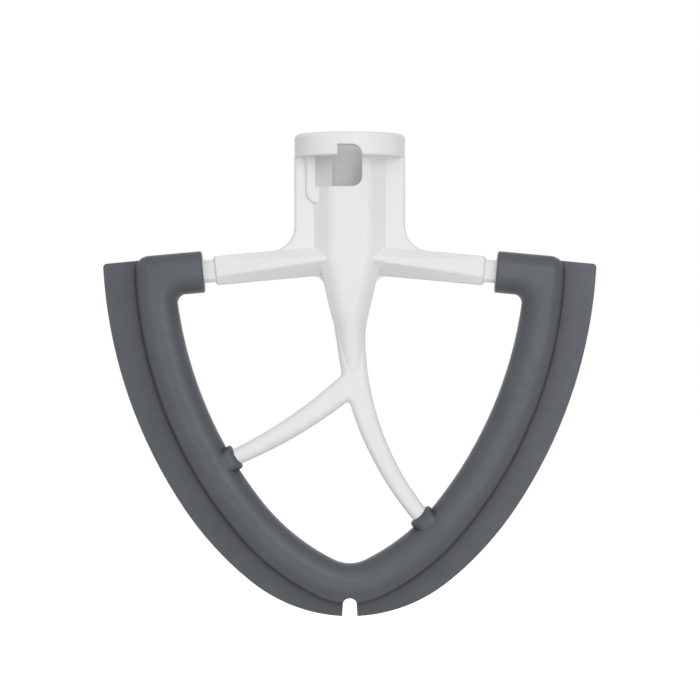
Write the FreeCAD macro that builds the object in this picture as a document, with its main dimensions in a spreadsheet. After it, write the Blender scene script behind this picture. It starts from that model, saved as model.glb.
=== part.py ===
"""Flat beater for a tilt-head stand mixer: a coated die casting with a moulded-on silicone edge.

Millimetres. The origin lies on the axis of the shaft bore at the top of the hub collar, +Z is up
along the bore and the front, with the bayonet window, faces -Y.
"""
import FreeCAD, Part
import math
import os
import Sketcher
from FreeCAD import Placement, Rotation, Vector

# Driving dimensions. Depths run down from the top of the collar, reaches run out from the bore axis.
SIZES = {
    # Hub: the collar with its neck
    "collar_radius": 19.6,
    "collar_height": 8.1,
    "collar_top_round": 1.6,
    "collar_foot_round": 0.6,
    "collar_root_round": 3.5,
    "collar_neck_radius": 9.2,
    "collar_neck_depth": 16.0,
    # Sections of the hub with cut and rounded corners: boss, top of the taper, its waist, neck and stem
    "boss_front": 9.4,
    "boss_side": 13.3,
    "boss_cut": 6.5,
    "boss_round": 5.0,
    "taper_front": 9.4,
    "taper_side": 11.3,
    "taper_cut": 4.5,
    "taper_round": 5.0,
    "waist_depth": 63.0,
    "waist_front": 8.7,
    "waist_side": 6.8,
    "waist_cut": 3.9,
    "waist_round": 6.2,
    "neck_depth": 69.0,
    "neck_shift": 0.2,
    "neck_front": 7.5,
    "neck_side": 5.2,
    "neck_cut": 3.3,
    "neck_round": 4.2,
    "stem_depth": 86.0,
    "stem_shift": 1.6,
    "stem_front": 4.9,
    "stem_side": 4.0,
    "stem_cut": 2.2,
    "stem_round": 4.0,
    "hub_side_round": 2.0,
    # Shaft bore, keyway for the cross pin, and the window with its locking pocket
    "bore_radius": 6.75,
    "bore_depth": 38.0,
    "bore_bevel": 0.8,
    "keyway_width": 5.2,
    "keyway_reach": 12.2,
    "window_depth": 18.7,
    "window_round": 3.7,
    "pocket_width": 8.8,
    "pocket_depth": 4.3,
    # Fins beside the boss
    "fin_thickness": 7.0,
    "fin_edge_round": 1.4,
    "fin_flare_round": 9.0,
    # Raised pad round the keyway
    "pad_width": 9.0,
    "pad_reach": 15.7,
    "pad_depth": 24.8,
    "pad_face": 5.2,
    "pad_edge_round": 1.3,
    # Arms: a sloping keel section that grows deeper towards the hub
    "arm_depth": 43.9,
    "arm_slope_angle": 5.2,
    "arm_height": 10.2,
    "arm_reach": 48.0,
    "arm_root_reach": 7.0,
    "arm_tip_half": 4.4,
    "arm_root_half": 8.3,
    "arm_tip_brow": 1.9,
    "arm_root_brow": 3.9,
    "arm_tip_keel": 2.9,
    "arm_root_keel": 5.1,
    "arm_tip_foot": 2.4,
    "arm_root_foot": 1.6,
    "arm_top_half": 3.7,
    "arm_round": 1.2,
    "arm_tip_bevel": 0.7,
    "gusset_reach": 15.0,
    "gusset_round": 4.5,
    "gusset_thickness": 3.0,
    "gusset_seat": 0.3,
    # Stem and braces: each edge of a brace is an arc from the stem down to a foot on the rim
    "brace_thickness": 10.0,
    "brace_edge_round": 2.5,
    "stem_top_half": 6.4,
    "stem_top_depth": 62.0,
    "stem_right_reach": 5.5,
    "stem_right_depth": 71.0,
    "crotch_reach": 0.23,
    "crotch_depth": 94.1,
    "crotch_round": 1.0,
    "armpit_beside_crotch": 2.67,
    "armpit_above_crotch": 9.05,
    "armpit_round": 1.6,
    "right_outer_radius": 98.5,
    "right_inner_radius": 115.0,
    "right_foot_reach": 25.82,
    "right_foot_width": 5.97,
    "left_upper_radius": 154.9,
    "left_lower_radius": 163.8,
    "left_foot_reach": 41.49,
    "left_foot_width": 5.76,
    "brace_root": 7.2,
    # Silicone: wall over the rim bar, sleeves on the arms and the rounded section
    "edge_thickness": 14.0,
    "edge_wall": 3.4,
    "edge_inner_round": 6.4,
    "edge_outer_round": 5.4,
    "core_bevel": 1.2,
    "sleeve_height": 14.8,
    "sleeve_reach": 51.8,
    "sleeve_end_round": 0.7,
    "elbow_outer_round": 5.5,
    "elbow_inner_round": 3.0,
    # Window side of the rim: a bottom arc, a flank arc and a side arc, each with the angle it turns through
    "inner_depth": 151.8,
    "inner_bottom_radius": 12.5,
    "inner_bottom_angle": 26.4,
    "inner_flank_radius": 75.0,
    "inner_flank_angle": 25.5,
    "inner_side_radius": 145.6,
    # Groove between the rounded bar and the lip
    "bar_width": 14.4,
    "groove_bottom_radius": 27.3,
    "groove_bottom_angle": 25.7,
    "groove_flank_radius": 83.6,
    "groove_flank_angle": 23.2,
    "groove_side_radius": 153.1,
    # Wiping edge of the lip
    "lip_width": 4.4,
    "lip_bottom_radius": 55.9,
    "lip_bottom_angle": 39.4,
    "lip_flank_radius": 119.0,
    "lip_flank_angle": 16.8,
    "lip_side_radius": 170.2,
    "lip_rise": 6.0,
    "lip_corner_round": 1.4,
    "lip_edge_thickness": 1.5,
    "lip_root_thickness": 3.6,
    "lip_seat": 0.4,
    "lip_root": 4.0,
    # Notch at the bottom of the lip
    "notch_width": 5.9,
    "notch_head_width": 4.5,
    "notch_height": 6.7,
    "notch_round": 2.3,
    # Collars of silicone where the braces come in
    "cuff_width": 9.2,
    "cuff_proud": 1.8,
    "cuff_thickness": 12.8,
    "cuff_corner_round": 1.0,
    "cuff_edge_round": 3.0,
    "cuff_root": 6.0,
}

# Distance within which a point counts as lying on a face, line or arc
NEAR = 0.01
# Bend below which two pieces of an outline run smoothly into each other
SMOOTH = math.radians(0.2)
# Largest share of its room that a rounding may take
ROUND_SHARE = 0.95
# Least rounding of the rim bar's outer elbows for each unit of its bevel
ELBOW_TO_BEVEL = 1.5

doc = FreeCAD.newDocument("FlatBeater")
sheet = doc.addObject("Spreadsheet::Sheet", "Sizes")
for row, (alias, number) in enumerate(SIZES.items(), start=1):
    sheet.set(f"A{row}", alias)
    sheet.set(f"B{row}", str(number))
    sheet.setAlias(f"B{row}", alias)
doc.recompute()


class Size:
    """A length known both as a number and as the sheet expression that gives it."""

    def __init__(self, value, text):
        self.value = value
        self.text = text

    def __add__(self, other):
        return Size(self.value + value_of(other), f"({self.text} + {text_of(other)})")

    def __sub__(self, other):
        return Size(self.value - value_of(other), f"({self.text} - {text_of(other)})")

    def __mul__(self, other):
        return Size(self.value * value_of(other), f"({self.text} * {text_of(other)})")

    def __truediv__(self, other):
        return Size(self.value / value_of(other), f"({self.text} / {text_of(other)})")

    def __neg__(self):
        return Size(-self.value, f"(-1 * {self.text})")

    def at_most(self, other):
        return Size(min(self.value, value_of(other)), f"min({self.text}; {text_of(other)})")

    def at_least(self, other):
        return Size(max(self.value, value_of(other)), f"max({self.text}; {text_of(other)})")


def value_of(length):
    return length.value if isinstance(length, Size) else float(length)


def text_of(length):
    return length.text if isinstance(length, Size) else repr(float(length))


def size(alias):
    return Size(float(sheet.get(alias)), f"Sizes.{alias}")


def angle_of(alias):
    """An angle of the sheet, in radians."""
    return math.radians(float(sheet.get(alias)))


def arm_fall():
    """How far the arms fall for each unit of reach."""
    return Size(math.tan(angle_of("arm_slope_angle")), "tan(Sizes.arm_slope_angle * 1 deg)")


# Sketching


def new_body(name):
    return doc.addObject("PartDesign::Body", name)


def new_sketch(body, name, role, offset=None):
    """A sketch on one of the body's own origin planes, moved along that plane's normal."""
    sketch = body.newObject("Sketcher::SketchObject", name)
    plane = next(item for item in body.Origin.OriginFeatures if item.Role == role)
    sketch.AttachmentSupport = (plane, [""])
    sketch.MapMode = "FlatFace"
    if offset is not None:
        sketch.setExpression("AttachmentOffset.Base.z", offset.text)
    return sketch


def bind(sketch, constraint, length):
    index = sketch.addConstraint(constraint)
    sketch.setExpression(f"Constraints[{index}]", text_of(length))


def bind_point(sketch, geometry, end, x, y):
    """Ties the place of one end of a line, or of a point, to the sheet."""
    bind(sketch, Sketcher.Constraint("DistanceX", -1, 1, geometry, end, value_of(x)), x)
    bind(sketch, Sketcher.Constraint("DistanceY", -1, 1, geometry, end, value_of(y)), y)


def arc_about(centre, start, end):
    """The shorter arc between two points, and whether it runs the way it was asked for."""
    first = math.atan2(start.y - centre.y, start.x - centre.x)
    last = math.atan2(end.y - centre.y, end.x - centre.x)
    forward = (last - first) % (2 * math.pi) <= math.pi
    if not forward:
        first, last = last, first
    circle = Part.Circle(centre, Vector(0, 0, 1), (start - centre).Length)
    return Part.ArcOfCircle(circle, first, last), forward


def heading(piece, at_end):
    """Direction of travel along a line or arc of a path, at its start or its end."""
    if len(piece) == 2:
        return (piece[1] - piece[0]).normalize()
    start, end, centre = piece[:3]
    spoke = (end if at_end else start) - centre
    turn = 1 if arc_about(centre, start, end)[1] else -1
    return Vector(-spoke.y * turn, spoke.x * turn, 0).normalize()


def draw_path(sketch, pieces):
    """Draws a closed path of lines (start, end) and arcs (start, end, centre, radius).

    Smooth joints are kept tangent, the others only joined, and each arc's radius is tied to the sheet.
    """
    ends = []
    for piece in pieces:
        if len(piece) == 2:
            ends.append((sketch.addGeometry(Part.LineSegment(*piece), False), 1, 2))
        else:
            arc, forward = arc_about(piece[2], piece[0], piece[1])
            ends.append((sketch.addGeometry(arc, False), 1 if forward else 2, 2 if forward else 1))
    for index, piece in enumerate(pieces):
        following = (index + 1) % len(pieces)
        bend = heading(piece, True).getAngle(heading(pieces[following], False))
        joint = "Tangent" if bend < SMOOTH else "Coincident"
        sketch.addConstraint(Sketcher.Constraint(
            joint, ends[index][0], ends[index][2], ends[following][0], ends[following][1]))
    for (geometry, _, _), piece in zip(ends, pieces):
        if len(piece) == 4:
            bind(sketch, Sketcher.Constraint("Radius", geometry, value_of(piece[3])), piece[3])
    return ends


def draw_polygon(sketch, corners):
    """Draws a closed polygon of corners (x, y, radius), with every place and radius tied to the sheet."""
    points = [Vector(value_of(x), value_of(y), 0) for x, y, _ in corners]
    trimmed = []
    for index, point in enumerate(points):
        before = (points[index - 1] - point).normalize()
        after = (points[(index + 1) % len(points)] - point).normalize()
        half = before.getAngle(after) / 2
        reach = value_of(corners[index][2]) / math.tan(half)
        spoke = (before + after).normalize() * (value_of(corners[index][2]) / math.sin(half))
        trimmed.append((point + before * reach, point + after * reach, point + spoke))
    lines = []
    for index, (_, leave, _) in enumerate(trimmed):
        arrive = trimmed[(index + 1) % len(trimmed)][0]
        lines.append(sketch.addGeometry(Part.LineSegment(leave, arrive), False))
    for index, (x, y, radius) in enumerate(corners):
        incoming, outgoing = lines[index - 1], lines[index]
        if value_of(radius) == 0:
            sketch.addConstraint(Sketcher.Constraint("Coincident", incoming, 2, outgoing, 1))
            bind_point(sketch, outgoing, 1, x, y)
            continue
        arrive, leave, centre = trimmed[index]
        arc, forward = arc_about(centre, arrive, leave)
        rounding = sketch.addGeometry(arc, False)
        sketch.addConstraint(Sketcher.Constraint("Tangent", incoming, 2, rounding, 1 if forward else 2))
        sketch.addConstraint(Sketcher.Constraint("Tangent", rounding, 2 if forward else 1, outgoing, 1))
        bind(sketch, Sketcher.Constraint("Radius", rounding, value_of(radius)), radius)
        corner = sketch.addGeometry(Part.Point(points[index]), True)
        sketch.addConstraint(Sketcher.Constraint("PointOnObject", corner, 1, incoming))
        sketch.addConstraint(Sketcher.Constraint("PointOnObject", corner, 1, outgoing))
        bind_point(sketch, corner, 1, x, y)


# Features


def pad(body, name, sketch, length, symmetric=True, reverse=False):
    feature = body.newObject("PartDesign::Pad", name)
    feature.Profile = sketch
    feature.SideType = "Symmetric" if symmetric else "One side"
    feature.Reversed = reverse
    feature.setExpression("Length", length.text)
    doc.recompute()
    return feature


def edge_names(feature, wanted):
    """Names of the edges whose middle passes the test."""
    names = []
    for index, edge in enumerate(feature.Shape.Edges, start=1):
        middle = edge.valueAt((edge.FirstParameter + edge.LastParameter) / 2)
        if wanted(middle):
            names.append(f"Edge{index}")
    return names


def pocket(body, name, sketch, length, symmetric=False, reverse=False):
    """A cut of a given length, which stops the build if it takes nothing away."""
    before = body.Shape.Volume
    feature = body.newObject("PartDesign::Pocket", name)
    feature.Profile = sketch
    feature.SideType = "Symmetric" if symmetric else "One side"
    feature.Reversed = reverse
    feature.setExpression("Length", length.text)
    doc.recompute()
    if body.Shape.Volume > before - NEAR:
        raise RuntimeError(f"{name} cuts nothing")
    return feature


def round_edges(body, name, base, names, radius):
    feature = body.newObject("PartDesign::Fillet", name)
    feature.Base = (base, names)
    feature.setExpression("Radius", radius.text)
    doc.recompute()
    return feature


def bevel_edges(body, name, base, names, width):
    feature = body.newObject("PartDesign::Chamfer", name)
    feature.Base = (base, names)
    feature.setExpression("Size", width.text)
    doc.recompute()
    return feature


def on_face(point, thickness):
    """Whether a point lies on the front or the back of a plate that is centred on Y."""
    return abs(abs(point.y) - thickness.value / 2) < NEAR


def fuse(name, shapes):
    feature = doc.addObject("Part::MultiFuse", name)
    feature.Shapes = shapes
    feature.Refine = True
    doc.recompute()
    return feature


def cut(name, base, tool):
    feature = doc.addObject("Part::Cut", name)
    feature.Base = base
    feature.Tool = tool
    feature.Refine = True
    doc.recompute()
    return feature


# Curves that more than one sub-part follows


def flat(x, z):
    return Vector(value_of(x), value_of(z), 0)


def arm_line(reach, rise):
    """Height at a reach from the bore axis, on a line that runs parallel to the arms."""
    return -size("arm_depth") - arm_fall() * reach + rise


def line_into_circle(start, along, centre, radius):
    """Where a line from inside or outside a circle, run along a unit vector, leaves that circle."""
    spoke = start - centre
    middle = -spoke.dot(along)
    return start + along * (middle + math.sqrt(middle ** 2 - spoke.dot(spoke) + radius ** 2))


BOTTOM, FLANK, SIDE = range(3)


def rim_depth(name):
    """Depth of the lowest point of one of the rim outlines."""
    depth = size("inner_depth")
    if name != "inner":
        depth = depth + size("bar_width")
    if name == "lip":
        depth = depth + size("lip_width")
    return depth


class RimCurve:
    """Half of a rim outline: bottom, flank and side arcs, tangent to each other, on the +X side."""

    def __init__(self, name, inset=None):
        inset = inset if inset is not None else Size(0.0, "0")
        grow = {"inner": 1.0, "groove": -1.0, "lip": -1.0}[name]
        self.radii = [size(f"{name}_{part}_radius") + inset * grow for part in ("bottom", "flank", "side")]
        bottom_turn = angle_of(f"{name}_bottom_angle")
        flank_turn = bottom_turn + angle_of(f"{name}_flank_angle")
        lowest = -rim_depth(name) - inset * grow
        centre = flat(0, lowest + self.radii[BOTTOM])
        self.centres = [centre]
        self.joints = []
        for turn, here, after in zip((bottom_turn, flank_turn), self.radii, self.radii[1:]):
            outward = Vector(math.sin(turn), -math.cos(turn), 0)
            self.joints.append(centre + outward * here.value)
            centre = centre + outward * (here.value - after.value)
            self.centres.append(centre)

    def meet_line(self, rise, radius):
        """Rounds the corner between the side arc and a line parallel to the arms.

        Gives where the rounding leaves the arc, where it reaches the line, and its centre.
        """
        along = Vector(1, -arm_fall().value, 0).normalize()
        across = Vector(-along.y, along.x, 0)
        start = flat(0, arm_line(0, rise)) - across * value_of(radius)
        side, reach = self.centres[SIDE], self.radii[SIDE].value
        centre = line_into_circle(start, along, side, reach - value_of(radius))
        leave = side + (centre - side).normalize() * reach
        return leave, centre + across * value_of(radius), centre

    def arcs(self, top):
        """The pieces from the top of the -X side round the bottom to the top of the +X side."""
        bottom, flank, side = self.centres
        low, high = self.joints
        return [
            (mirror(top), mirror(high), mirror(side), self.radii[SIDE]),
            (mirror(high), mirror(low), mirror(flank), self.radii[FLANK]),
            (mirror(low), low, bottom, self.radii[BOTTOM]),
            (low, high, flank, self.radii[FLANK]),
            (high, top, side, self.radii[SIDE]),
        ]


def mirror(point):
    return Vector(-point.x, point.y, 0)


def mirror_back(pieces):
    """The same pieces on the other side of the bore axis, run in the opposite order."""
    turned = []
    for piece in reversed(pieces):
        ends = (mirror(piece[1]), mirror(piece[0]))
        turned.append(ends if len(piece) == 2 else ends + (mirror(piece[2]), piece[3]))
    return turned


def draw_rim(sketch, inset, end_reach):
    """Outline of the rim bar with the two elbows and sleeves, set in from the silicone's outline."""
    half = size("sleeve_height") / 2 - inset
    outer, inner = RimCurve("groove", inset), RimCurve("inner", inset)
    outer_round = (size("elbow_outer_round") - inset).at_least(size("core_bevel") * ELBOW_TO_BEVEL)
    inner_round = size("elbow_inner_round") + inset
    outer_leave, outer_reach, outer_centre = outer.meet_line(half, outer_round)
    inner_leave, inner_reach, inner_centre = inner.meet_line(-half, inner_round)
    lean = arm_fall() * half
    tips = []
    for side in (1, -1):
        reach = end_reach + lean * side
        tips.append((reach, arm_line(reach, half * side)))
    upper, lower = (flat(*tip) for tip in tips)
    right = [
        (outer_leave, outer_reach, outer_centre, outer_round),
        (outer_reach, upper),
        (upper, lower),
        (lower, inner_reach),
        (inner_reach, inner_leave, inner_centre, inner_round),
    ]
    inside = [
        (piece[1], piece[0], piece[2], piece[3]) for piece in reversed(inner.arcs(inner_leave))
    ]
    ends = draw_path(sketch, outer.arcs(outer_leave) + right + inside + mirror_back(right))
    end_line = len(outer.arcs(outer_leave)) + 2
    bind_point(sketch, ends[end_line][0], 1, *tips[0])
    bind_point(sketch, ends[end_line][0], 2, *tips[1])
    return outer


def on_outline(point, curve):
    """Whether a point, or its mirror image, lies on the arcs of a rim outline."""
    place = Vector(abs(point.x), point.z, 0)
    gaps = [abs((place - centre).Length - radius.value) for centre, radius in zip(curve.centres, curve.radii)]
    return min(gaps) < NEAR


# Casting


def draw_octagon(sketch, name, shift=0):
    """Section of the hub: a rectangle with cut corners, rounded and moved sideways by a shift."""
    front, side, corner_cut = (size(f"{name}_{part}") for part in ("front", "side", "cut"))
    quarter = [
        (side - corner_cut, front, size(f"{name}_round")),
        (side, front - corner_cut, size("hub_side_round")),
    ]
    right = quarter + [(x, -y, rounding) for x, y, rounding in reversed(quarter)]
    corners = right + [(-x, y, rounding) for x, y, rounding in reversed(right)]
    draw_polygon(sketch, [(x + shift, y, rounding) for x, y, rounding in corners])


def make_collar():
    """Collar turned about the bore axis, with the neck that rounds it into the boss."""
    body = new_body("Collar")
    neck, foot = size("collar_neck_radius"), -size("collar_height")
    profile = new_sketch(body, "CollarProfile", "XZ_Plane")
    draw_polygon(profile, [
        (0, 0, 0),
        (size("collar_radius"), 0, size("collar_top_round")),
        (size("collar_radius"), foot, size("collar_foot_round")),
        (neck, foot, size("collar_root_round")),
        (neck, -size("collar_neck_depth"), 0),
        (0, -size("collar_neck_depth"), 0),
    ])
    turned = body.newObject("PartDesign::Revolution", "CollarTurned")
    turned.Profile = profile
    turned.ReferenceAxis = (profile, ["V_Axis"])
    turned.Angle = 360
    doc.recompute()
    return body


def make_boss():
    """Boss from the collar down to the arms, then the taper that narrows to the stem."""
    body = new_body("Boss")
    top, bottom = size("collar_foot_round") - size("collar_height"), arm_line(0, 0)
    section = new_sketch(body, "BossSection", "XY_Plane", top)
    draw_octagon(section, "boss")
    pad(body, "BossBlock", section, top - bottom, symmetric=False, reverse=True)

    stations = [
        ("taper", bottom, 0),
        ("waist", -size("waist_depth"), 0),
        ("neck", -size("neck_depth"), size("neck_shift")),
        ("stem", -size("stem_depth"), size("stem_shift")),
    ]
    sections = []
    for name, height, shift in stations:
        section = new_sketch(body, f"{name.title()}Section", "XY_Plane", height)
        draw_octagon(section, name, shift)
        sections.append(section)
    doc.recompute()
    taper = body.newObject("PartDesign::AdditiveLoft", "HubTaper")
    taper.Profile = sections[0]
    taper.Sections = sections[1:]
    taper.Ruled = True
    doc.recompute()
    return body


def make_gussets():
    """Rounded corners between the undersides of the arms and the sides of the taper."""
    body = new_body("Gussets")
    rise, reach = size("arm_height") / 2, size("gusset_reach")
    side, foot = (size(name) - size("gusset_seat") for name in ("taper_side", "waist_side"))
    slope = (side - foot) / (size("waist_depth") - size("arm_depth"))
    corner = (side - slope * rise) / (slope * arm_fall() + 1)
    right = [
        (reach, arm_line(reach, 0), 0),
        (reach, arm_line(reach, -rise), 0),
        (corner, arm_line(corner, -rise), size("gusset_round")),
        (foot, -size("waist_depth"), 0),
    ]
    outline = new_sketch(body, "GussetOutline", "XZ_Plane")
    draw_polygon(outline, right + [(-x, z, rounding) for x, z, rounding in reversed(right)])
    pad(body, "GussetPlate", outline, size("gusset_thickness"))
    return body


def make_fins():
    """Flat fins under the collar, flared out into the tops of the arms."""
    body = new_body("Fins")
    side, rise, flare = size("collar_radius"), size("arm_height") / 2, size("fin_flare_round")
    far = side + flare
    right = [
        (side, size("collar_foot_round") - size("collar_height"), 0),
        (side, arm_line(side, rise), flare),
        (far, arm_line(far, rise), 0),
        (far, arm_line(far, 0), 0),
    ]
    outline = new_sketch(body, "FinOutline", "XZ_Plane")
    draw_polygon(outline, right + [(-x, z, rounding) for x, z, rounding in reversed(right)])
    plate = pad(body, "FinPlate", outline, size("fin_thickness"))

    def outer_edge(middle):
        on_side = side.value - NEAR < abs(middle.x) < far.value - NEAR
        return on_face(middle, size("fin_thickness")) and on_side

    round_edges(body, "FinEdges", plate, edge_names(plate, outer_edge), size("fin_edge_round"))
    return body


def make_keyway_pad():
    """U-shaped pad that thickens the front of the left fin round the keyway."""
    body = new_body("KeywayPad")
    width, left = size("pad_width"), -size("pad_reach")
    right, top = left + width, size("collar_foot_round") - size("collar_height")
    bend = width / 2 - size("pad_depth")
    centre, foot = flat(left + width / 2, bend), flat(left + width / 2, -size("pad_depth"))
    outline = new_sketch(body, "KeywayPadOutline", "XZ_Plane")
    draw_path(outline, [
        (flat(left, bend), flat(left, top)),
        (flat(left, top), flat(right, top)),
        (flat(right, top), flat(right, bend)),
        (flat(right, bend), foot, centre, width / 2),
        (foot, flat(left, bend), centre, width / 2),
    ])
    block = pad(body, "KeywayPadBlock", outline, size("pad_face"), symmetric=False)

    def front_edge(middle):
        return abs(middle.y + size("pad_face").value) < NEAR and middle.z < top.value - NEAR

    round_edges(body, "KeywayPadEdge", block, edge_names(block, front_edge), size("pad_edge_round"))
    return body


def make_arm(name, side):
    """One arm: a keel section lofted along X from the boss to a bevelled end, then tilted to its fall."""
    body = new_body(name)
    rise, rounding, bevel = size("arm_height") / 2, size("arm_round"), size("arm_tip_bevel")
    stations = [
        ("root", size("arm_root_reach"), 0),
        ("tip", size("arm_reach") - bevel, 0),
        ("tip", size("arm_reach"), bevel),
    ]
    sections = []
    for number, (end, reach, inset) in enumerate(stations):
        half = size(f"arm_{end}_half")
        corners = [
            (size("arm_top_half"), rise),
            (half, rise - size(f"arm_{end}_brow")),
            (half, size(f"arm_{end}_keel") - rise),
            (size(f"arm_{end}_foot"), -rise),
        ]
        narrower, lower = (half - inset) / half, (rise - inset) / rise
        back = [(y * narrower, z * lower, rounding * narrower) for y, z in corners]
        sketch = new_sketch(body, f"{name}Section{number}", "YZ_Plane", reach * side)
        draw_polygon(sketch, back + [(-y, z, corner) for y, z, corner in reversed(back)])
        sections.append(sketch)
    doc.recompute()
    loft = body.newObject("PartDesign::AdditiveLoft", f"{name}Loft")
    loft.Profile = sections[0]
    loft.Sections = sections[1:]
    loft.Ruled = True
    tilt = Rotation(Vector(0, 1, 0), size("arm_slope_angle").value * side)
    body.Placement = Placement(Vector(0, 0, arm_line(0, 0).value), tilt)
    doc.recompute()
    return body


def lower_crossing(first, first_radius, second, second_radius):
    """The lower of the two points where two circles cross."""
    across = second - first
    gap = across.Length
    along = (first_radius ** 2 - second_radius ** 2 + gap ** 2) / (2 * gap)
    middle = first + across * (along / gap)
    normal = Vector(-across.y, across.x, 0) * (math.sqrt(first_radius ** 2 - along ** 2) / gap)
    return min(middle + normal, middle - normal, key=lambda point: point.y)


class BraceEdge:
    """One edge of a brace: an arc that starts on the stem and comes down to a foot on the rim."""

    def __init__(self, radius, start, foot, side):
        across = foot - start
        normal = Vector(-across.y, across.x, 0).normalize() * side
        self.radius = radius
        self.start = start
        self.foot = foot
        self.centre = (start + foot) / 2 + normal * math.sqrt(radius.value ** 2 - (across.Length / 2) ** 2)

    def toward(self, point):
        """The point of the edge that faces a given point."""
        return self.centre + (point - self.centre).normalize() * self.radius.value

    def inside_rim(self, arc, depth):
        """Where the edge, run on past its foot, reaches a depth behind the window side of the rim."""
        rim = RimCurve("inner")
        centre = rim.centres[arc] if self.foot.x > 0 else mirror(rim.centres[arc])
        return lower_crossing(self.centre, self.radius.value, centre, rim.radii[arc].value + depth)


def rim_feet(arc, reach, width):
    """Upper and lower foot of a brace on the +X side of the rim, a width apart."""
    rim = RimCurve("inner")
    centre, radius = rim.centres[arc], rim.radii[arc].value
    middle = -math.acos((reach.value - centre.x) / radius)
    half = width.value / radius / 2
    return [
        centre + Vector(math.cos(middle + turn), math.sin(middle + turn), 0) * radius
        for turn in (half, -half)
    ]


def brace_edges():
    """Outer and inner edge of the right brace, then upper and lower edge of the left brace."""
    stem = flat(size("stem_right_reach"), -size("stem_right_depth"))
    crotch = flat(-size("crotch_reach"), -size("crotch_depth"))
    armpit = crotch + flat(-size("armpit_beside_crotch"), size("armpit_above_crotch"))
    outer, inner = rim_feet(FLANK, size("right_foot_reach"), size("right_foot_width"))
    upper, lower = (mirror(foot) for foot in rim_feet(SIDE, size("left_foot_reach"), size("left_foot_width")))
    return [
        BraceEdge(size("right_outer_radius"), stem, outer, 1),
        BraceEdge(size("right_inner_radius"), crotch, inner, 1),
        BraceEdge(size("left_upper_radius"), armpit, upper, -1),
        BraceEdge(size("left_lower_radius"), crotch, lower, -1),
    ]


def make_braces():
    """Stem with its two curved braces, cut from one outline and rounded along its edges."""
    body = new_body("Braces")
    outer, inner, upper, lower = brace_edges()
    root = size("brace_root").value
    right_ends = [edge.inside_rim(FLANK, root) for edge in (outer, inner)]
    left_ends = [edge.inside_rim(SIDE, root) for edge in (lower, upper)]

    crotch = size("crotch_round")
    crotch_centre = lower_crossing(
        inner.centre, (inner.radius + crotch).value, lower.centre, (lower.radius + crotch).value)

    armpit = size("armpit_round")
    stem_right = flat(size("stem_top_half"), -size("stem_top_depth"))
    stem_left = mirror(stem_right)
    down = (upper.start - stem_left).normalize()
    outward = Vector(down.y, -down.x, 0)
    armpit_centre = line_into_circle(
        stem_left + outward * armpit.value, down, upper.centre, (upper.radius - armpit).value)
    armpit_top = armpit_centre - outward * armpit.value

    outline = new_sketch(body, "BraceOutline", "XZ_Plane")
    draw_path(outline, [
        (stem_right, outer.start),
        (outer.start, right_ends[0], outer.centre, outer.radius),
        (right_ends[0], right_ends[1]),
        (right_ends[1], inner.toward(crotch_centre), inner.centre, inner.radius),
        (inner.toward(crotch_centre), lower.toward(crotch_centre), crotch_centre, crotch),
        (lower.toward(crotch_centre), left_ends[0], lower.centre, lower.radius),
        (left_ends[0], left_ends[1]),
        (left_ends[1], upper.toward(armpit_centre), upper.centre, upper.radius),
        (upper.toward(armpit_centre), armpit_top, armpit_centre, armpit),
        (armpit_top, stem_left),
        (stem_left, stem_right),
    ])
    plate = pad(body, "BracePlate", outline, size("brace_thickness"))
    hidden = [(start + end) / 2 for start, end in (right_ends, left_ends, (stem_left, stem_right))]

    def long_edge(middle):
        away = all((flat(middle.x, middle.z) - end).Length > NEAR for end in hidden)
        return on_face(middle, size("brace_thickness")) and away

    slimmer = size("left_foot_width").at_most(size("right_foot_width"))
    round_edges(body, "BraceEdges", plate, edge_names(plate, long_edge),
                size("brace_edge_round").at_most(slimmer / 2 * ROUND_SHARE))
    return body


def make_core():
    """Closed rim bar that carries the silicone, with the necks that join it to the arms."""
    body = new_body("RimCore")
    depth = size("edge_thickness") - size("edge_wall") * 2
    reach, lean = size("arm_reach") - size("arm_height") / 2, arm_fall() * size("arm_height")
    outline = new_sketch(body, "RimCoreOutline", "XZ_Plane")
    draw_rim(outline, size("edge_wall"), reach)
    bar = pad(body, "RimCoreBar", outline, depth)

    def long_edge(middle):
        past_end = abs(abs(middle.x) - reach.value) > lean.value
        return on_face(middle, depth) and past_end

    bevel_edges(body, "RimCoreEdges", bar, edge_names(bar, long_edge), size("core_bevel"))
    return body


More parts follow.
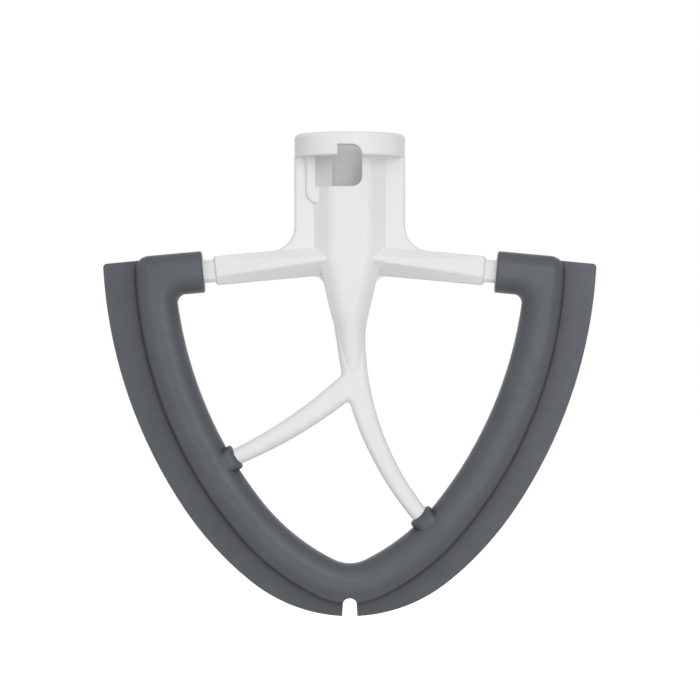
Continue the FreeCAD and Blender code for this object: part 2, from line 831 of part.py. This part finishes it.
def make_casting():
    """The casting: all its forms fused, then the bore, the keyway and the bayonet window cut in."""
    blank = fuse("CastingBlank", [
        make_collar(), make_boss(), make_fins(), make_keyway_pad(), make_arm("RightArm", 1),
        make_arm("LeftArm", -1), make_gussets(), make_braces(), make_core()])
    body = new_body("Casting")
    body.BaseFeature = blank
    doc.recompute()

    radius = size("bore_radius")
    bore = new_sketch(body, "BoreCircle", "XY_Plane")
    circle = bore.addGeometry(Part.Circle(Vector(0, 0, 0), Vector(0, 0, 1), radius.value), False)
    bore.addConstraint(Sketcher.Constraint("Coincident", circle, 3, -1, 1))
    bind(bore, Sketcher.Constraint("Radius", circle, radius.value), radius)
    drilled = pocket(body, "Bore", bore, size("bore_depth"))

    def mouth(middle):
        return abs(middle.z) < NEAR and math.hypot(middle.x, middle.y) < radius.value + NEAR

    bevel_edges(body, "BoreMouth", drilled, edge_names(drilled, mouth), size("bore_bevel"))

    half, reach = size("keyway_width") / 2, -size("keyway_reach")
    keyway = new_sketch(body, "KeywayOutline", "XY_Plane")
    draw_polygon(keyway, [(reach, half, 0), (reach, -half, 0), (0, -half, 0), (0, half, 0)])
    pocket(body, "Keyway", keyway, size("window_depth"))

    side, corner = size("pocket_width") / 2, size("window_round")
    floor, roof, foot = -size("window_depth"), -size("pocket_depth"), -size("collar_height")
    window = new_sketch(body, "WindowOutline", "XZ_Plane")
    draw_polygon(window, [
        (reach, floor, 0),
        (side, floor, corner),
        (side, roof, corner),
        (-side, roof, 0),
        (-side, foot, 0),
        (reach, foot, 0),
    ])
    pocket(body, "Window", window, size("collar_radius") + size("collar_top_round"), reverse=True)
    body.Label = "beater_casting"
    return body


# Silicone edge


def make_bar():
    """Rounded bar of silicone over the rim and the ends of the arms."""
    body = new_body("EdgeBar")
    thickness, half, reach = size("edge_thickness"), size("sleeve_height") / 2, size("sleeve_reach")
    outline = new_sketch(body, "EdgeBarOutline", "XZ_Plane")
    outer = draw_rim(outline, Size(0.0, "0"), reach)
    blank = pad(body, "EdgeBarBlank", outline, thickness)

    def sleeve_end(middle):
        lean = (arm_fall() * (middle.z - arm_line(reach, 0).value)).value
        return abs(abs(middle.x) - reach.value - lean) < NEAR

    def outer_edge(middle):
        on_elbow = middle.z > arm_line(abs(middle.x), half - size("elbow_outer_round")).value
        outside = on_elbow or on_outline(middle, outer)
        return on_face(middle, thickness) and not sleeve_end(middle) and outside

    def window_edge(middle):
        return on_face(middle, thickness) and not sleeve_end(middle) and not outer_edge(middle)

    soft = round_edges(body, "WindowSide", blank, edge_names(blank, window_edge),
                       size("edge_inner_round").at_most(thickness / 2 * ROUND_SHARE))
    firm = round_edges(body, "OuterSide", soft, edge_names(soft, outer_edge), size("edge_outer_round"))
    round_edges(body, "SleeveEnds", firm, edge_names(firm, sleeve_end), size("sleeve_end_round"))
    return body


def make_lip():
    """Wiping lip along the outside of the bar, tapered from its root to its edge."""
    body = new_body("WipingLip")
    rise, corner = size("lip_rise"), size("lip_corner_round")
    root, edge = size("lip_root_thickness") / 2, size("lip_edge_thickness") / 2
    seat, hidden = (RimCurve("groove", size(name)) for name in ("lip_seat", "lip_root"))
    outside = RimCurve("lip")
    start = hidden.meet_line(rise, 0)[0]
    inside = [(piece[1], piece[0]) + piece[2:] for piece in reversed(hidden.arcs(start))]
    sections = []
    for number, (curve, level) in enumerate(((seat, root), (outside, edge), (outside, -edge), (seat, -root))):
        leave, reach, centre = curve.meet_line(rise, corner)
        end = [(leave, reach, centre, corner), (reach, start)]
        section = new_sketch(body, f"WipingLipSection{number}", "XZ_Plane", level)
        draw_path(section, curve.arcs(leave) + end + inside + mirror_back(end))
        sections.append(section)
    doc.recompute()
    loft = body.newObject("PartDesign::AdditiveLoft", "WipingLipTaper")
    loft.Profile = sections[0]
    loft.Sections = sections[1:]
    loft.Ruled = True
    doc.recompute()
    return body


def make_cuff(name, edges, arc):
    """Collar of silicone where a brace comes into the rim, square to the rim."""
    body = new_body(name)
    half, round_corner = size("cuff_width") / 2, size("cuff_corner_round")
    outline = new_sketch(body, f"{name}Outline", "XZ_Plane")
    draw_polygon(outline, [
        (half, -size("cuff_root"), 0),
        (half, size("cuff_proud"), round_corner),
        (-half, size("cuff_proud"), round_corner),
        (-half, -size("cuff_root"), 0),
    ])
    block = pad(body, f"{name}Block", outline, size("cuff_thickness"))

    def free_edge(middle):
        return on_face(middle, size("cuff_thickness")) and middle.z > NEAR - size("cuff_root").value

    round_edges(body, f"{name}Edges", block, edge_names(block, free_edge), size("cuff_edge_round"))
    place = (edges[0].foot + edges[1].foot) / 2
    rim = RimCurve("inner")
    centre = rim.centres[arc] if place.x > 0 else mirror(rim.centres[arc])
    turn = math.degrees(math.atan2(centre.x - place.x, centre.y - place.y))
    body.Placement = Placement(Vector(place.x, 0, place.y), Rotation(Vector(0, 1, 0), turn))
    doc.recompute()
    return body


def make_silicone(casting):
    """The silicone edge: bar, lip and cuffs fused, notched, and hollowed by the casting."""
    outer, inner, upper, lower = brace_edges()
    blank = fuse("EdgeBlank", [
        make_bar(), make_lip(), make_cuff("RightCuff", (outer, inner), FLANK),
        make_cuff("LeftCuff", (upper, lower), SIDE)])
    body = new_body("Edge")
    body.BaseFeature = blank
    doc.recompute()
    foot, head = size("notch_width") / 2, size("notch_head_width") / 2
    low = -rim_depth("lip") - size("lip_root")
    high = size("notch_height") - rim_depth("lip")
    arch = size("notch_round").at_most(head)
    notch = new_sketch(body, "NotchOutline", "XZ_Plane")
    draw_polygon(notch, [(-foot, low, 0), (foot, low, 0), (head, high, arch), (-head, high, arch)])
    pocket(body, "Notch", notch, size("edge_thickness"), symmetric=True)
    edge = cut("SiliconeEdge", body, casting)
    edge.Label = "silicone_edge"
    return edge


casting = make_casting()
silicone = make_silicone(casting)
doc.recompute()

broken = [item.Name for item in doc.Objects if {"Invalid", "Error"} & set(item.State)]
if broken:
    raise RuntimeError(f"broken objects: {broken}")
os.makedirs("parts", exist_ok=True)
for part in (casting, silicone):
    if part.Shape.isNull() or not part.Shape.isValid() or len(part.Shape.Solids) != 1:
        raise RuntimeError(f"{part.Label} is not one valid solid")
    part.Shape.exportStep(f"parts/{part.Label}.step")
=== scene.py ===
"""Looks of the flat beater: a satin white coating on the casting and a matt dark silicone edge.

Metres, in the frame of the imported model: +Z up along the shaft bore, the front faces -Y.
"""
import math

import bpy
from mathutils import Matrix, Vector


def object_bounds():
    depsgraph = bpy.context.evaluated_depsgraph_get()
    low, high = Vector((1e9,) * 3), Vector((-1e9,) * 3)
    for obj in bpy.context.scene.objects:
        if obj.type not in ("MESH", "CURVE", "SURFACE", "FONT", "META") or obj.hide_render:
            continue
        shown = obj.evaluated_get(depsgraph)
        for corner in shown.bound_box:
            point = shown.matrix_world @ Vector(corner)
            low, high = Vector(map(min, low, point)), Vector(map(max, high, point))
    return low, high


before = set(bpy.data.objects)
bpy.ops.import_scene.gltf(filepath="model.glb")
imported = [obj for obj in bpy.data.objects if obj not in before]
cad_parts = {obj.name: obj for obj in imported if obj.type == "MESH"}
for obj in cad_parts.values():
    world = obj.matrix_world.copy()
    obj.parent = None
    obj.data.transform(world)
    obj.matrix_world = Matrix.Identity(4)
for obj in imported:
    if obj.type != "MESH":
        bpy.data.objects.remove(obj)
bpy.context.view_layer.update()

# Camera, from the photograph's perspective: level, in front, at mid height of the picture
CAMERA_DISTANCE = 1.2
VIEW_WIDTH = 0.2480
VIEW_CENTRE = Vector((0.00008, 0.0, -0.0763))
SENSOR_WIDTH = 36.0

# Light: the world and the lamps in front together light a surface that faces the camera at about 1
WORLD_LEVEL = 0.48
LAMP_DISTANCE = 2.0

# Each lamp's level, its side, and the degrees that it stands to the right and up from straight in front
LAMPS = {
    "key": (0.355, 1.1, 13, 12),
    "fill": (0.10, 2.4, -45, 12),
    "top": (0.14, 1.6, 0, 50),
    "back": (0.36, 2.0, 180, 8),
}

# Floor: its size, its place below the beater, and the part of its white that is seen but gives no light
FLOOR_SIDE = 12.0
FLOOR_DROP = 0.12
FLOOR_GLOW = 0.65
WHITE = (1.0, 1.0, 1.0, 1.0)
FLOOR_LOOK = {
    "Base Color": (0.82, 0.82, 0.82, 1.0),
    "Roughness": 0.9,
    "Specular IOR Level": 0.0,
    "Emission Color": WHITE,
}

# Noise: the stretch of its values that is spread over a range, and its levels of detail
NOISE_LOW = 0.3
NOISE_HIGH = 0.7
PLAIN_DETAIL = 2.0
CLOUDY_DETAIL = 3.0
MOTTLED_DETAIL = 5.0

# White coating
COATING_COLOURS = ((0.788, 0.788, 0.792), (0.812, 0.812, 0.815))
COATING_ROUGHNESS = (0.45, 0.55)
COATING_SPECULAR = 0.25
COATING_SHADE_GRAIN = 0.030
COATING_GLOSS_GRAIN = 0.006
PEEL_GRAIN = 0.0012
PEEL_DEPTH = 0.000012

# Grey silicone
SILICONE_COLOURS = ((0.059, 0.067, 0.079), (0.069, 0.078, 0.091))
SILICONE_ROUGHNESS = (0.46, 0.54)
SILICONE_SPECULAR = 0.50
SILICONE_MOTTLE_GRAIN = 0.012
SILICONE_GLOSS_GRAIN = 0.004
MOULD_GRAIN = 0.0005
MOULD_DEPTH = 0.000015

# Painted shade in the hollows of the silicone: how far the occlusion is felt, how open the darkest
# places are, and how dark the painted shade gets there
PAINTED_SHADE_REACH = 0.014
PAINTED_SHADE_OPENNESS = 0.72
PAINTED_SHADE_DEPTH = 0.35


def add_node(tree, kind, inputs=None, **settings):
    """One shader node, with its settings and the values of its unlinked sockets."""
    node = tree.nodes.new(kind)
    for name, value in settings.items():
        setattr(node, name, value)
    for name, value in (inputs or {}).items():
        node.inputs[name].default_value = value
    return node


def new_material(name):
    """A material with its node tree, its Principled shader and object coordinates in metres."""
    material = bpy.data.materials.new(name)
    material.use_nodes = True
    tree = material.node_tree
    shader = tree.nodes["Principled BSDF"]
    place = add_node(tree, "ShaderNodeTexCoord").outputs["Object"]
    return material, tree, shader, place


def noise(tree, place, grain, detail):
    """Noise whose grain is given in metres."""
    node = add_node(tree, "ShaderNodeTexNoise", {"Scale": 1.0 / grain, "Detail": detail})
    tree.links.new(place, node.inputs["Vector"])
    return node.outputs["Fac"]


def ramp(tree, value, colours):
    """Spreads a noise value over the range between two colours."""
    node = add_node(tree, "ShaderNodeValToRGB")
    for stop, position, colour in zip(node.color_ramp.elements, (NOISE_LOW, NOISE_HIGH), colours):
        stop.position = position
        stop.color = (*colour, 1.0)
    tree.links.new(value, node.inputs["Fac"])
    return node.outputs["Color"]


def spread(tree, value, limits):
    """Spreads a noise value over the range between two numbers."""
    low, high = limits
    stretch = {"From Min": NOISE_LOW, "From Max": NOISE_HIGH, "To Min": low, "To Max": high}
    node = add_node(tree, "ShaderNodeMapRange", stretch)
    tree.links.new(value, node.inputs["Value"])
    return node.outputs["Result"]


def bump(tree, shader, height, depth):
    """Raises the surface by a noise value, to a depth in metres."""
    node = add_node(tree, "ShaderNodeBump", {"Strength": 1.0, "Distance": depth})
    tree.links.new(height, node.inputs["Height"])
    tree.links.new(node.outputs["Normal"], shader.inputs["Normal"])


def paint_recess_shade(tree, colour):
    """Paints shade into a colour where the piece's own surface is hollow, from its ambient occlusion."""
    # Painted shade: the occlusion darkens the base colour where shade falls, not a colour of the
    # silicone
    corner = add_node(tree, "ShaderNodeAmbientOcclusion", {"Distance": PAINTED_SHADE_REACH}, only_local=True)
    shade = add_node(tree, "ShaderNodeMapRange", {"From Min": PAINTED_SHADE_OPENNESS, "To Min": PAINTED_SHADE_DEPTH})
    tree.links.new(corner.outputs["AO"], shade.inputs["Value"])
    darker = add_node(tree, "ShaderNodeVectorMath", operation="SCALE")
    tree.links.new(colour, darker.inputs["Vector"])
    tree.links.new(shade.outputs["Result"], darker.inputs["Scale"])
    return darker.outputs["Vector"]


def coating_material():
    """Satin white coating: a faint orange peel, and very small changes of shade and gloss."""
    material, tree, shader, place = new_material("white_coating")
    shade = noise(tree, place, COATING_SHADE_GRAIN, CLOUDY_DETAIL)
    tree.links.new(ramp(tree, shade, COATING_COLOURS), shader.inputs["Base Color"])
    gloss = noise(tree, place, COATING_GLOSS_GRAIN, CLOUDY_DETAIL)
    tree.links.new(spread(tree, gloss, COATING_ROUGHNESS), shader.inputs["Roughness"])
    shader.inputs["Specular IOR Level"].default_value = COATING_SPECULAR
    bump(tree, shader, noise(tree, place, PEEL_GRAIN, PLAIN_DETAIL), PEEL_DEPTH)
    return material


def silicone_material():
    """Matt dark grey silicone: fine moulded grain, a little mottling, and shade painted into its
    hollows.
    """
    material, tree, shader, place = new_material("grey_silicone")
    mottle = noise(tree, place, SILICONE_MOTTLE_GRAIN, MOTTLED_DETAIL)
    colour = ramp(tree, mottle, SILICONE_COLOURS)
    # The base colour gets painted shade in the hollows of the silicone
    tree.links.new(paint_recess_shade(tree, colour), shader.inputs["Base Color"])
    gloss = noise(tree, place, SILICONE_GLOSS_GRAIN, CLOUDY_DETAIL)
    tree.links.new(spread(tree, gloss, SILICONE_ROUGHNESS), shader.inputs["Roughness"])
    shader.inputs["Specular IOR Level"].default_value = SILICONE_SPECULAR
    bump(tree, shader, noise(tree, place, MOULD_GRAIN, PLAIN_DETAIL), MOULD_DEPTH)
    return material


def dress(node, material):
    """Gives a CAD node its material."""
    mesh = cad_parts[node].data
    mesh.materials.clear()
    mesh.materials.append(material)


def seen_directly(tree):
    """1 for what the camera, a reflection or a refraction sees, 0 for what only gives light."""
    path = add_node(tree, "ShaderNodeLightPath")
    total = path.outputs["Is Camera Ray"]
    for ray in ("Is Glossy Ray", "Is Transmission Ray"):
        node = add_node(tree, "ShaderNodeMath", operation="MAXIMUM")
        tree.links.new(total, node.inputs[0])
        tree.links.new(path.outputs[ray], node.inputs[1])
        total = node.outputs[0]
    return total


def light_world():
    """White where it is seen, and an even level of light on the object."""
    world = bpy.data.worlds.new("studio")
    bpy.context.scene.world = world
    world.use_nodes = True
    tree = world.node_tree
    background = tree.nodes["Background"]
    background.inputs["Color"].default_value = WHITE
    level = add_node(tree, "ShaderNodeMapRange", {"To Min": WORLD_LEVEL, "To Max": 1.0})
    tree.links.new(seen_directly(tree), level.inputs["Value"])
    tree.links.new(level.outputs["Result"], background.inputs["Strength"])


def lay_floor():
    """Pale floor below the beater, which is held in the air by its shaft."""
    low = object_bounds()[0][2] - FLOOR_DROP
    half = FLOOR_SIDE / 2
    mesh = bpy.data.meshes.new("floor")
    corners = [(-half, -half, low), (half, -half, low), (half, half, low), (-half, half, low)]
    mesh.from_pydata(corners, [], [(0, 1, 2, 3)])
    floor = bpy.data.objects.new("floor", mesh)
    bpy.context.scene.collection.objects.link(floor)
    material, tree, shader, _ = new_material("pale_floor")
    for name, value in FLOOR_LOOK.items():
        shader.inputs[name].default_value = value
    glow = add_node(tree, "ShaderNodeMath", operation="MULTIPLY")
    glow.inputs[1].default_value = FLOOR_GLOW
    tree.links.new(seen_directly(tree), glow.inputs[0])
    tree.links.new(glow.outputs[0], shader.inputs["Emission Strength"])
    mesh.materials.append(material)


def aim(thing, target):
    """Turns a lamp or a camera towards a point."""
    thing.rotation_euler = (target - thing.location).to_track_quat("-Z", "Y").to_euler()


def add_lamp(name, level, side, azimuth, elevation):
    """Square soft lamp, turned to the right and up from straight in front by angles in degrees."""
    lamp = bpy.data.lights.new(name, "AREA")
    lamp.shape = "SQUARE"
    lamp.size = side
    lamp.energy = level * math.pi ** 2 * LAMP_DISTANCE ** 2
    turn, rise = math.radians(azimuth), math.radians(elevation)
    outward = Vector((math.sin(turn) * math.cos(rise), -math.cos(turn) * math.cos(rise), math.sin(rise)))
    holder = bpy.data.objects.new(name, lamp)
    holder.location = VIEW_CENTRE + outward * LAMP_DISTANCE
    aim(holder, VIEW_CENTRE)
    bpy.context.scene.collection.objects.link(holder)


def add_camera():
    """Level camera in front, whose picture is as wide as the photograph's."""
    lens = bpy.data.cameras.new("camera")
    lens.sensor_width = SENSOR_WIDTH
    lens.lens = SENSOR_WIDTH * CAMERA_DISTANCE / VIEW_WIDTH
    camera = bpy.data.objects.new("camera", lens)
    camera.location = VIEW_CENTRE - Vector((0, CAMERA_DISTANCE, 0))
    aim(camera, VIEW_CENTRE)
    bpy.context.scene.collection.objects.link(camera)
    bpy.context.scene.camera = camera


dress("beater_casting", coating_material())
dress("silicone_edge", silicone_material())
light_world()
lay_floor()
for lamp_name, lamp_setting in LAMPS.items():
    add_lamp(lamp_name, *lamp_setting)
add_camera()
bpy.context.scene.view_settings.view_transform = "Standard"
